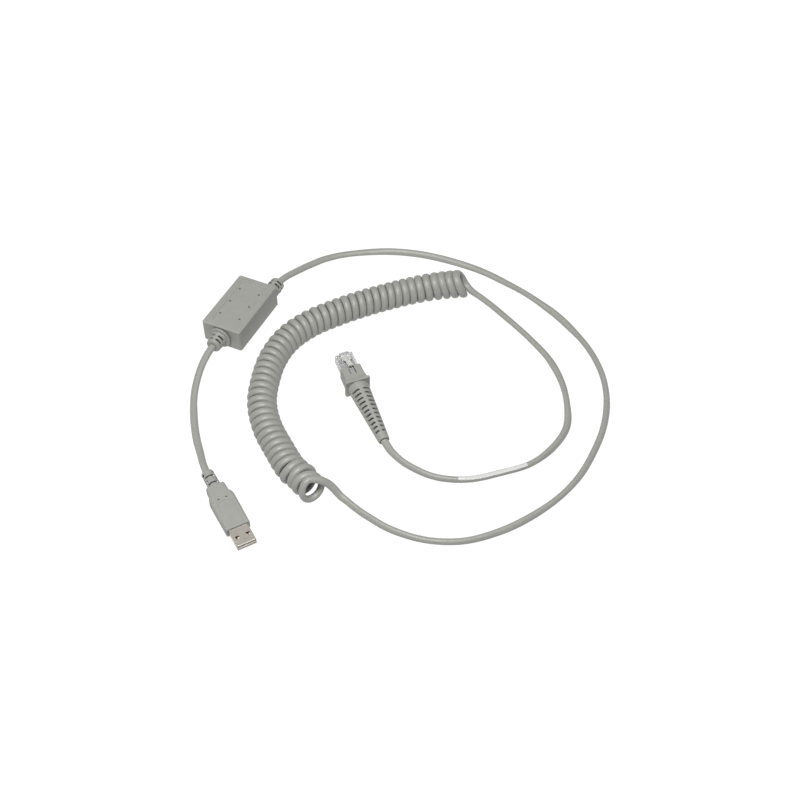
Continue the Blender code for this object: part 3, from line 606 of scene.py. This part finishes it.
def add_cord(name, knots, material, spacing=0.0019, sides=20):
    """Oval tube along the smooth curve through the knots; returns it and its middle line."""
    places = [knot[0] for knot in knots]
    fine = smooth_curve(places, 3)
    travelled = distances(fine)
    count = round(travelled[-1] / spacing)
    path, sections = [], []
    i = 0
    last_side = knots[0][1]
    for step in range(count + 1):
        goal = travelled[-1] * step / count
        while i < len(fine) - 2 and travelled[i + 1] < goal:
            i += 1
        share = (goal - travelled[i]) / (travelled[i + 1] - travelled[i])
        path.append(fine[i].lerp(fine[i + 1], share))
        k, part = divmod((i + share) / 3, 1.0)
        first, second = knots[int(k)], knots[min(int(k) + 1, len(knots) - 1)]
        sign = -1 if first[1].dot(second[1]) < 0 else 1
        side = first[1].lerp(second[1] * sign, part).normalized()
        side *= -1 if side.dot(last_side) < 0 else 1
        last_side = side
        sections.append((side, first[2] + (second[2] - first[2]) * part,
                         first[3] + (second[3] - first[3]) * part))
    bm = bmesh.new()
    loft(bm, [oval(path, i, *section, [2 * math.pi * n / sides for n in range(sides)])
              for i, section in enumerate(sections)])
    tube = add_piece(name, bm, material, smooth=60.0, weighted=False)
    return tube, path, sections


def oval(path, i, side, wide, thin, angles, lift=0.0):
    """Points of the oval section at one point of a path."""
    ahead = (path[min(i + 1, len(path) - 1)] - path[max(i - 1, 0)]).normalized()
    side = (side - ahead * side.dot(ahead)).normalized()
    up = side.cross(ahead)
    return [path[i] + side * (wide + lift) * math.cos(a) + up * (thin + lift) * math.sin(a)
            for a in angles]


def inside_module(end, y):
    return [(Vector((end * x, y, MODULE_AXIS_Z)), Vector((0, 1, 0)), WIDE, THIN)
            for x in (JACKET_END, 0.0290)]


def inside_plug(place, distances_back):
    side = (place.to_3x3() @ Vector((0, 1, 0))).normalized()
    return [(place @ Vector((-x, 0, 0)), side, WIDE, THIN) for x in distances_back]


def add_label(path, sections, start, material):
    """Film wrapped over the cord, down one side further than the other."""
    travelled = distances(path)
    low, high = (start + d for d in LABEL_SPAN)
    chosen = [i for i, d in enumerate(travelled) if low <= d <= high]
    reach = [math.radians(-76 + 124 * step / 20) for step in range(21)]
    rings = []
    for i in chosen:
        side, wide, thin = sections[i]
        ahead = (path[i + 1] - path[i - 1]).normalized()
        top = math.atan2(side.cross(ahead).z, side.z)
        angles = [top + turn for turn in reach]
        ends = min(i - chosen[0], chosen[-1] - i)
        lift = 0.00008 + (0.00004 if ends == 0 else 0.0)
        outer = oval(path, i, side, wide, thin, angles, lift + 0.00014)
        inner = oval(path, i, side, wide, thin, angles[::-1], lift)
        rings.append(outer + inner)
    bm = bmesh.new()
    loft(bm, rings)
    return add_piece("label_wrap", bm, material, replaces=["cord_label"],
                     smooth=50.0)


def add_cords(jacket):
    usb = inside_module(-1, USB_EXIT_Y) + lead_knots(USB_LEAD, USB_TWIST)
    usb += inside_plug(USB_FRAME, (0.0560, 0.0510, 0.0395))
    tube, path, _ = add_cord("usb_cord", usb, jacket)
    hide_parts("usb_lead")
    round(distances(path)[-1], 3)

    mouth = [*TAIL_LEAD, MODULAR_FRAME @ Vector((-BOOT_LENGTH, 0, 0))]
    before = inside_module(1, SCANNER_EXIT_Y) + lead_knots(SCANNER_LEAD, SCANNER_TWIST)
    coil = coil_knots()
    tail = lead_knots(mouth, TAIL_TWIST)
    inner = inside_plug(MODULAR_FRAME, (0.036, 0.022, 0.008, -0.0075))
    tube, path, sections = add_cord("scanner_cord", before + coil + tail + inner, jacket)
    tail_start = distances(smooth_curve([knot[0] for knot in before + coil], 3))[-1]
    label = add_label(path, sections, tail_start, label_film())
    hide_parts("scanner_lead", "curly_cord", "tail_lead")
    round(distances(path)[-1], 3)


# ---------------------------------------------------------------- inline module

def add_housing(material):
    rings = []
    for side in (-1, 1):
        arc = []
        for step in range(7):
            angle = step / 6 * math.pi / 2
            inset = MODULE_EDGE * (1 - math.cos(angle))
            height = MODULE_AXIS_Z + side * (MODULE_HALF.z - MODULE_EDGE * (1 - math.sin(angle)))
            arc.append([(x, y, height) for x, y in
                        ring(MODULE_HALF.x - inset, MODULE_HALF.y - inset, MODULE_CORNER - inset)])
        rings += arc[::-1] if side < 0 else arc
    for grow, drop in ((0.00030, 0.0), (0.00010, 0.00006), (0.0, 0.00020), (-0.00010, 0.00036),
                       (-0.00030, 0.00042)):
        rings.append([(x, y, MODULE_TOP - drop) for x, y in
                      ring(PANEL_HALF[0] + grow, PANEL_HALF[1] + grow, 0.0016 + grow)])
    bm = bmesh.new()
    loft(bm, rings)
    holes = bmesh.new()
    for column in (-1, 0, 1):
        for row in (-1, 1):
            x, y = column * PIN_PITCH[0], row * PIN_PITCH[1]
            loft(holes, [[(x + a, y + b, z) for a, b in ring(r, r, r, 7)] for z, r in
                         ((MODULE_TOP - 0.0040, 0.00060), (MODULE_TOP + 0.001, 0.00078))])
    add_piece("housing", carve(bm, [holes]), material, replaces=["module_housing"])


def add_module_relief(name, node, end, y, flange, neck, length, material):
    """Slotted grommet on an end of the module, with a flange or a plain neck at its root."""
    face = MODULE_HALF.x
    stretch = length / GROMMET_LENGTH
    hollow = GROMMET_HOLLOW
    if flange:
        root = [(-0.0005, 0.0060, hollow), (0.0006, 0.0060, hollow), (0.0007, 0.0063, hollow),
                (0.0008, flange - 0.0004, hollow), (0.0011, flange, hollow),
                (0.0018, flange, hollow), (0.0022, flange - 0.0003, hollow),
                (0.0023, flange - 0.0009, hollow), (0.0024, neck + 0.0001, hollow)]
    else:
        root = [(-0.0005, neck, hollow), (0.0010, neck, hollow)]
    body = [(0.0030, neck, hollow), (0.0038, neck, hollow), (0.0041, neck, hollow),
            (0.0054, 0.0054, hollow), (0.0057, 0.0054, hollow), (0.0062, 0.0053, hollow),
            (0.0068, 0.0052, hollow), (0.0071, 0.0052, hollow), (0.0084, 0.0051, hollow),
            (0.0087, 0.0051, hollow), (0.0095, 0.0051, 0.0032), (0.0102, 0.0049, 0.0024),
            (0.0107, 0.0043, 0.0022), (0.0109, 0.0034, 0.0022)]
    stations = [(end * (face + x * stretch), outer, inner) for x, outer, inner in root + body]
    edges = (14, 31, 45, 59, 76, 90)
    angles = [90 * quarter + edge for quarter in range(4) for edge in edges]

    def is_slot(x, angle):
        distance = (end * x - face) / stretch
        open_here = any(low < distance < high for low, high in GROMMET_SLOTS)
        return abs(angle % 90 - 45) < 31 and open_here

    bm = bmesh.new()
    sleeve(bm, stations, angles, is_slot, y, MODULE_AXIS_Z)
    add_piece(name, rounded(bm), material, replaces=[node])


# ---------------------------------------------------------------- USB plug

def add_usb_grip(material):
    height = GRIP_HALF_HEIGHT
    front = [(-0.0160, 0.0058, 0.00235, 0.0009), (-SHELL_SHOWS - 0.0002, 0.00615, 0.00240, 0.0009),
             (-SHELL_SHOWS, 0.00625, 0.00250, 0.0010)]
    sections = front + eased(-SHELL_SHOWS, 0.0076, height, 0.0016, 0.0006, 1)[::-1]
    sections += [(-0.0200, 0.0077, height, 0.0017), (-0.0280, 0.0078, height, 0.0018),
                 (-0.0360, 0.0079, height, 0.0019)]
    for step in range(1, 7):
        angle = step / 6 * math.pi / 2
        sections.append((-0.0366 - 0.0034 * math.sin(angle) - 0.0006 * step / 6,
                         0.0079 - 0.0015 * (1 - math.cos(angle)) - 0.0002 * step / 6, height,
                         0.0019))
    sections += [(-0.0410, 0.0062, height, 0.0017), (-0.0418, 0.0061, height, 0.0016),
                 (-0.0430, 0.0060, height, 0.0015)]
    sections += eased(-0.0476, 0.0059, height, 0.0015, 0.0007, -1)[::-1]
    bm = bmesh.new()
    loft(bm, along_x(sections))

    recess = bmesh.new()
    outline = [(-0.0305 + 0.0034 * math.cos(a), 0.0047 * math.sin(a))
               for a in [math.radians(90 + 180 * step / 16) for step in range(17)]]
    outline += [(-0.0152, -0.0047), (-0.0148, -0.0043), (-0.0148, 0.0043), (-0.0152, 0.0047)]
    plate(recess, outline, height - GRIP_RECESS, height + 0.001, "Z")
    holes = bmesh.new()
    along, across, radius = GRIP_PIN_HOLE
    for y in (-across, across):
        loft(holes, [[(along + a, y + b, z) for a, b in ring(radius, radius, radius, 6)]
                     for z in (height - 0.0045, height + 0.001)])
    grip = carve(bm, [recess, holes])

    hollow = USB_RELIEF_HOLLOW
    stations = [(-0.0466, 0.0036, hollow), (-0.0478, 0.0036, hollow)]
    for x, _, _ in USB_RELIEF_SLOTS:
        stations += [(x + dx, 0.00355 + 0.0001 * (x + 0.047) / 0.007, hollow)
                     for dx in (0.00090, 0.00062, -0.00062, -0.00090, -0.0014)]
    stations += [(-0.0600, 0.0034, 0.0024), (-0.0606, 0.0032, 0.0022), (-0.0608, 0.0028, 0.0022)]
    edges = (0, 15, 31, 45, 60, 75, 90, 105, 120, 135, 149, 165)
    angles = [half + edge for half in (0, 180) for edge in edges]

    def is_slot(x, angle):
        for middle, offset, half in USB_RELIEF_SLOTS:
            away = (angle - offset + 90) % 180 - 90
            if abs(x - middle) < 0.0005 and abs(away) < half:
                return True
        return False

    relief = bmesh.new()
    sleeve(relief, stations, angles, is_slot)
    bmesh.ops.scale(relief, vec=(1.0, USB_RELIEF_WIDER, 1.0), verts=relief.verts)
    return add_piece("usb_grip", joined(grip, rounded(relief)), material,
                     replaces=["usb_overmould"], place=USB_FRAME)


def add_usb_shell(material):
    half_y, half_z = SHELL_HALF
    corner, wall, rear = SHELL_CORNER, SHELL_WALL, SHELL_REAR
    sections = [(rear, half_y, half_z, corner)]
    sections += [(-0.0009, half_y, half_z, corner), (-0.0004, half_y, half_z, corner),
                 (-0.00012, half_y - 0.00007, half_z - 0.00007, corner - 0.00007),
                 (0.0, half_y - 0.00015, half_z - 0.00015, corner - 0.00015),
                 (-0.00012, half_y - 0.00023, half_z - 0.00023, corner - 0.00023),
                 (-0.0004, half_y - wall, half_z - wall, corner - wall),
                 (rear, half_y - wall, half_z - wall, corner - wall)]
    rings = along_x(sections, 7)
    bm = bmesh.new()
    loft(bm, rings, caps=False)
    outer_end, inner_end = rings[0], rings[-1]
    bm.verts.ensure_lookup_table()
    count = len(outer_end)
    first, last = bm.verts[:count], bm.verts[-count:]
    for i in range(count):
        j = (i + 1) % count
        bm.faces.new((first[i], last[i], last[j], first[j]))
    windows = bmesh.new()
    along, across = SHELL_WINDOW
    for y in (-across, across):
        loft(windows, [[(along + a, y + b, z) for a, b in ring(0.00105, 0.00125, 0.0003, 4)]
                       for z in (-half_z - 0.001, half_z + 0.001)])
    seam = bmesh.new()
    box(seam, (rear, -0.00004, -half_z - 0.001), (-0.0003, 0.00004, -half_z + 0.00012))
    return add_piece("usb_metal_shell", carve(bm, [windows, seam]), material,
                     replaces=["usb_shell"], place=USB_FRAME, smooth=30.0)


# ---------------------------------------------------------------- modular plug

def add_boot(material):
    stations = [(0.0008, 0.0070, BOOT_ROOT_BORE), (-0.0004, 0.0070, BOOT_ROOT_BORE),
                (-0.0030, 0.0069, 0.0050)]
    root_radius, cord_radius = BOOT_RADII
    slots = []
    for index, x in enumerate(BOOT_SLOTS):
        share = (x + 0.0003) / -0.0457
        outer = root_radius + (cord_radius - root_radius) * share
        inner = max(BOOT_ROOT_BORE * (1 - share * 1.25) + BORE * share * 1.25, BORE)
        half = 0.00062 + 0.00008 * index / 10
        slots.append((x, half))
        stations += [(x + dx, outer + 0.065 * dx, inner)
                     for dx in (half + 0.00028, half, -half, -half - 0.00028)]
    stations += [(-0.0425, 0.0039, BORE), (-0.0442, 0.0038, BORE), (-0.0453, 0.0037, BORE),
                 (-0.0459, 0.0035, BORE), (-0.0460, 0.0031, BORE)]
    edges = (-38, -34, -14, 14, 34, 38)
    angles = sorted((45 + 90 * quarter + edge) % 360 for quarter in range(4) for edge in edges)

    def is_slot(x, angle):
        away = angle % 90 - 45
        return abs(away) < 34 and any(abs(x - middle) < half * 0.9 for middle, half in slots)

    taper = bmesh.new()
    sleeve(taper, stations, angles, is_slot)
    for vert in taper.verts:
        towards_root = 1 + vert.co.x / BOOT_LENGTH
        vert.co.z *= 1 - BOOT_FLATTER * towards_root

    flange_y, flange_z = FLANGE_HALF
    pocket_y, pocket_z = BODY_HALF_WIDTH + 0.0002, 0.0035
    sections = eased(0.0, flange_y, flange_z, 0.0011, 0.0004, -1)
    sections += eased(FLANGE_THICK, flange_y, flange_z, 0.0011, 0.0004, 1)
    sections += [(0.0022, 0.0077, 0.0065, 0.0014), (0.0027, 0.0074, 0.0062, 0.0014),
                 (0.0040, 0.0072, 0.0059, 0.0014), (0.0065, 0.0070, 0.0056, 0.0014)]
    sections += eased(COLLAR_FRONT, 0.0069, 0.0053, 0.0013, 0.0005, 1)
    sections += [(COLLAR_FRONT - 0.0001, pocket_y, pocket_z, 0.0004),
                 (COLLAR_FRONT - 0.0006, pocket_y, pocket_z, 0.0004),
                 (BODY_REAR, pocket_y, pocket_z, 0.0004)]
    block = bmesh.new()
    loft(block, along_x(sections))
    past_front = COLLAR_FRONT + 0.001
    channel = bmesh.new()
    box(channel, (0.0078, -CHANNEL_HALF, 0.0047), (past_front, CHANNEL_HALF, COLLAR_CLEAR))
    slits = bmesh.new()
    for side in (-1, 1):
        low, high = sorted(side * edge for edge in SLIT)
        box(slits, (0.0074, low, 0.0030), (past_front, high, COLLAR_CLEAR))
    # Room for the lever's free end when it is pressed
    notch = bmesh.new()
    box(notch, (0.0127, -SLIT[1], 0.0038), (past_front, SLIT[1], COLLAR_CLEAR))
    collar = carve(block, [channel, slits, notch])
    return add_piece("boot", joined(collar, rounded(taper)), material, replaces=["plug_boot"],
                     place=MODULAR_FRAME)


def add_clear_body(material):
    outline = [(BODY_REAR, BODY_BOTTOM), (BODY_FRONT - 0.0008, BODY_BOTTOM),
               (BODY_FRONT, BODY_BOTTOM + 0.0009), (BODY_FRONT, 0.0036),
               (BODY_FRONT - 0.0008, 0.0056), (LATCH_HINGE.x + 0.0001, 0.0056),
               (LATCH_HINGE.x + 0.0001, BODY_TOP), (BODY_REAR, BODY_TOP)]
    bm = bmesh.new()
    plate(bm, outline, -BODY_HALF_WIDTH, BODY_HALF_WIDTH)
    shoulders = bmesh.new()
    for side in (-1, 1):
        low, high = sorted((side * 0.0031, side * 0.0070))
        box(shoulders, (LATCH_HINGE.x - 0.001, low, BODY_TOP), (BODY_FRONT + 0.001, high, 0.0060))
    hollow = bmesh.new()
    loft(hollow, along_x([(BODY_REAR - 0.001, 0.0052, 0.0026, 0.0008),
                          (0.0100, 0.0052, 0.0026, 0.0008),
                          (0.0135, 0.0052, 0.0011, 0.0005), (0.0200, 0.0052, 0.0007, 0.0003),
                          (0.0256, 0.0052, 0.0006, 0.0003)], 4))
    clamp = bmesh.new()
    box(clamp, (0.0152, -0.0037, BODY_BOTTOM - 0.001), (0.0182, 0.0037, -0.0018))
    slots = bmesh.new()
    for place in contact_places():
        box(slots, (0.0203, place - 0.0003, BODY_BOTTOM - 0.001), (0.0264, place + 0.0003, -0.0009))
    body = carve(bm, [shoulders, hollow, clamp, slots], bevel=0.00012)
    return add_piece("clear_body", body, material, replaces=["modular_plug_body"],
                     place=MODULAR_FRAME, smooth=30.0)


def contact_places():
    return [(index - 4.5) * CONTACT_PITCH for index in range(10)]


def add_latch(material):
    outline = [(-0.0001, 0.0030), (-0.0042, 0.0030), (-0.0056, 0.0017), (-0.0108, 0.0017),
               (-0.0112, 0.0013)]
    outline += [(x, -y) for x, y in reversed(outline)]
    bm = bmesh.new()
    plate(bm, outline, -0.00045, 0.00045, "Z")
    place = (MODULAR_FRAME @ Matrix.Translation(LATCH_HINGE)
             @ Matrix.Rotation(LATCH_RISE, 4, "Y"))
    return add_piece("clear_latch", carve(bm, [], bevel=0.00015), material, body="latch",
                     replaces=["latch_lever"], place=place,
                     smooth=30.0)


def add_wires():
    """Conductors that leave the jacket in two layers and fan out to one row."""
    wires = []
    for index, (y, (name, colour)) in enumerate(zip(contact_places(), WIRE_COLOURS.items()), 1):
        layer = 0.0007 if index % 2 else -0.0007
        route = [(0.0072, y * 0.36, layer), (0.0090, y * 0.50, layer),
                 (0.0118, y * 0.88, layer / 2), (0.0140, y, -0.0002), (0.0180, y, -0.0002),
                 (0.0254, y, -0.0002)]
        path = smooth_curve(route, 6)
        bm = bmesh.new()
        loft(bm, [[(p.x, p.y + a, p.z + b)
                   for a, b in ring(WIRE_RADIUS, WIRE_RADIUS, WIRE_RADIUS, 4)]
                  for p in path])
        material = plain_plastic(f"wire_{name}", colour, 0.35)
        wires.append(add_piece(f"wire_{index}", bm, material, replaces=[f"modular_wire_{index}"],
                               place=MODULAR_FRAME, smooth=60.0))
    return wires


# ---------------------------------------------------------------- stage

def add_camera():
    ahead = Vector((math.cos(LOOK_HEADING) * math.cos(LOOK_DOWN),
                    math.sin(LOOK_HEADING) * math.cos(LOOK_DOWN), -math.sin(LOOK_DOWN)))
    camera = bpy.data.objects.new("camera", bpy.data.cameras.new("camera"))
    camera.data.lens = LENS
    camera.data.clip_start = 0.01
    camera.matrix_world = (Matrix.Translation(LOOK_AT - ahead * LOOK_DISTANCE)
                           @ ahead.to_track_quat("-Z", "Y").to_matrix().to_4x4())
    bpy.context.scene.collection.objects.link(camera)
    bpy.context.scene.camera = camera


def add_area_light(name, place, size, power):
    light = bpy.data.lights.new(name, "AREA")
    light.size = size
    light.energy = power
    lamp = bpy.data.objects.new(name, light)
    to_middle = LOOK_AT - Vector(place)
    lamp.matrix_world = (Matrix.Translation(place)
                         @ to_middle.to_track_quat("-Z", "Y").to_matrix().to_4x4())
    bpy.context.scene.collection.objects.link(lamp)


def add_stage():
    bm = bmesh.new()
    bmesh.ops.create_grid(bm, x_segments=1, y_segments=1, size=FLOOR_HALF)
    mesh = bpy.data.meshes.new("floor")
    bm.to_mesh(mesh)
    bm.free()
    floor = bpy.data.objects.new("floor", mesh)
    bpy.context.scene.collection.objects.link(floor)
    white = Nodes("floor_white", (0.05, 0.05, 0.05), 0.9)
    Nodes.set(white.shader, {"Emission Color": (1.0, 1.0, 1.0, 1.0), "Emission Strength": 1.0,
                             "Specular IOR Level": 0.0})
    mesh.materials.append(white.material)

    world = bpy.data.worlds.new("studio")
    world.use_nodes = True
    background = world.node_tree.nodes["Background"]
    background.inputs["Color"].default_value = (1.0, 1.0, 1.0, 1.0)
    background.inputs["Strength"].default_value = WORLD_STRENGTH
    bpy.context.scene.world = world
    add_area_light("key", *KEY_LIGHT)
    add_area_light("fill", *FILL_LIGHT)
    bpy.context.scene.view_settings.view_transform = "Standard"


# ---------------------------------------------------------------- whole scene

def dress(material, *names):
    for name in names:
        for slot in nodes[name].material_slots:
            slot.material = material


def dress_hidden(gold):
    dress(plain_plastic("inner_case", (0.06, 0.06, 0.06), 0.5), "inner_shell_lower",
          "inner_shell_upper")
    dress(plain_plastic("solder_mask", (0.02, 0.14, 0.06), 0.35), "circuit_board")
    dress(plain_plastic("epoxy", (0.015, 0.015, 0.015), 0.45), "interface_chip",
          "voltage_regulator")
    dress(plain_plastic("crystal_can", (0.62, 0.62, 0.60), 0.25, 1.0), "crystal")
    dress(plain_plastic("ceramic", (0.40, 0.28, 0.17), 0.4),
          *[f"capacitor_{i}" for i in range(1, 5)])
    dress(plain_plastic("nylon", (0.72, 0.69, 0.58), 0.4), "usb_header", "scanner_header")
    dress(plain_plastic("pre_mould", (0.55, 0.55, 0.52), 0.5), "usb_inner_mould")
    dress(plain_plastic("off_white_pbt", (0.78, 0.76, 0.70), 0.35), "usb_insulator")
    dress(gold, *[f"usb_contact_{i}" for i in range(1, 5)],
          *[f"modular_contact_{i}" for i in range(1, 11)])


def build():
    add_camera()
    add_stage()
    moulding = moulded_pvc()
    gold = gold_plate()
    clear = clear_plastic()
    add_housing(moulding)
    add_module_relief("usb_grommet", "usb_strain_relief", -1, USB_EXIT_Y, 0.0079, 0.0056, 0.0109,
                      moulding)
    add_module_relief("scanner_grommet", "scanner_strain_relief", 1, SCANNER_EXIT_Y, 0.0, 0.0051,
                      0.0116, moulding)
    usb = [add_usb_grip(moulding), add_usb_shell(shell_metal())]
    usb += [nodes[name] for name in ("usb_insulator", "usb_inner_mould",
                                     *[f"usb_contact_{i}" for i in range(1, 5)])]
    modular = [add_boot(moulding), add_clear_body(clear), add_latch(latch_plastic()), *add_wires()]
    modular += [nodes[f"modular_contact_{i}"] for i in range(1, 11)]
    dress_hidden(gold)
    add_cords(cord_pvc())


build()
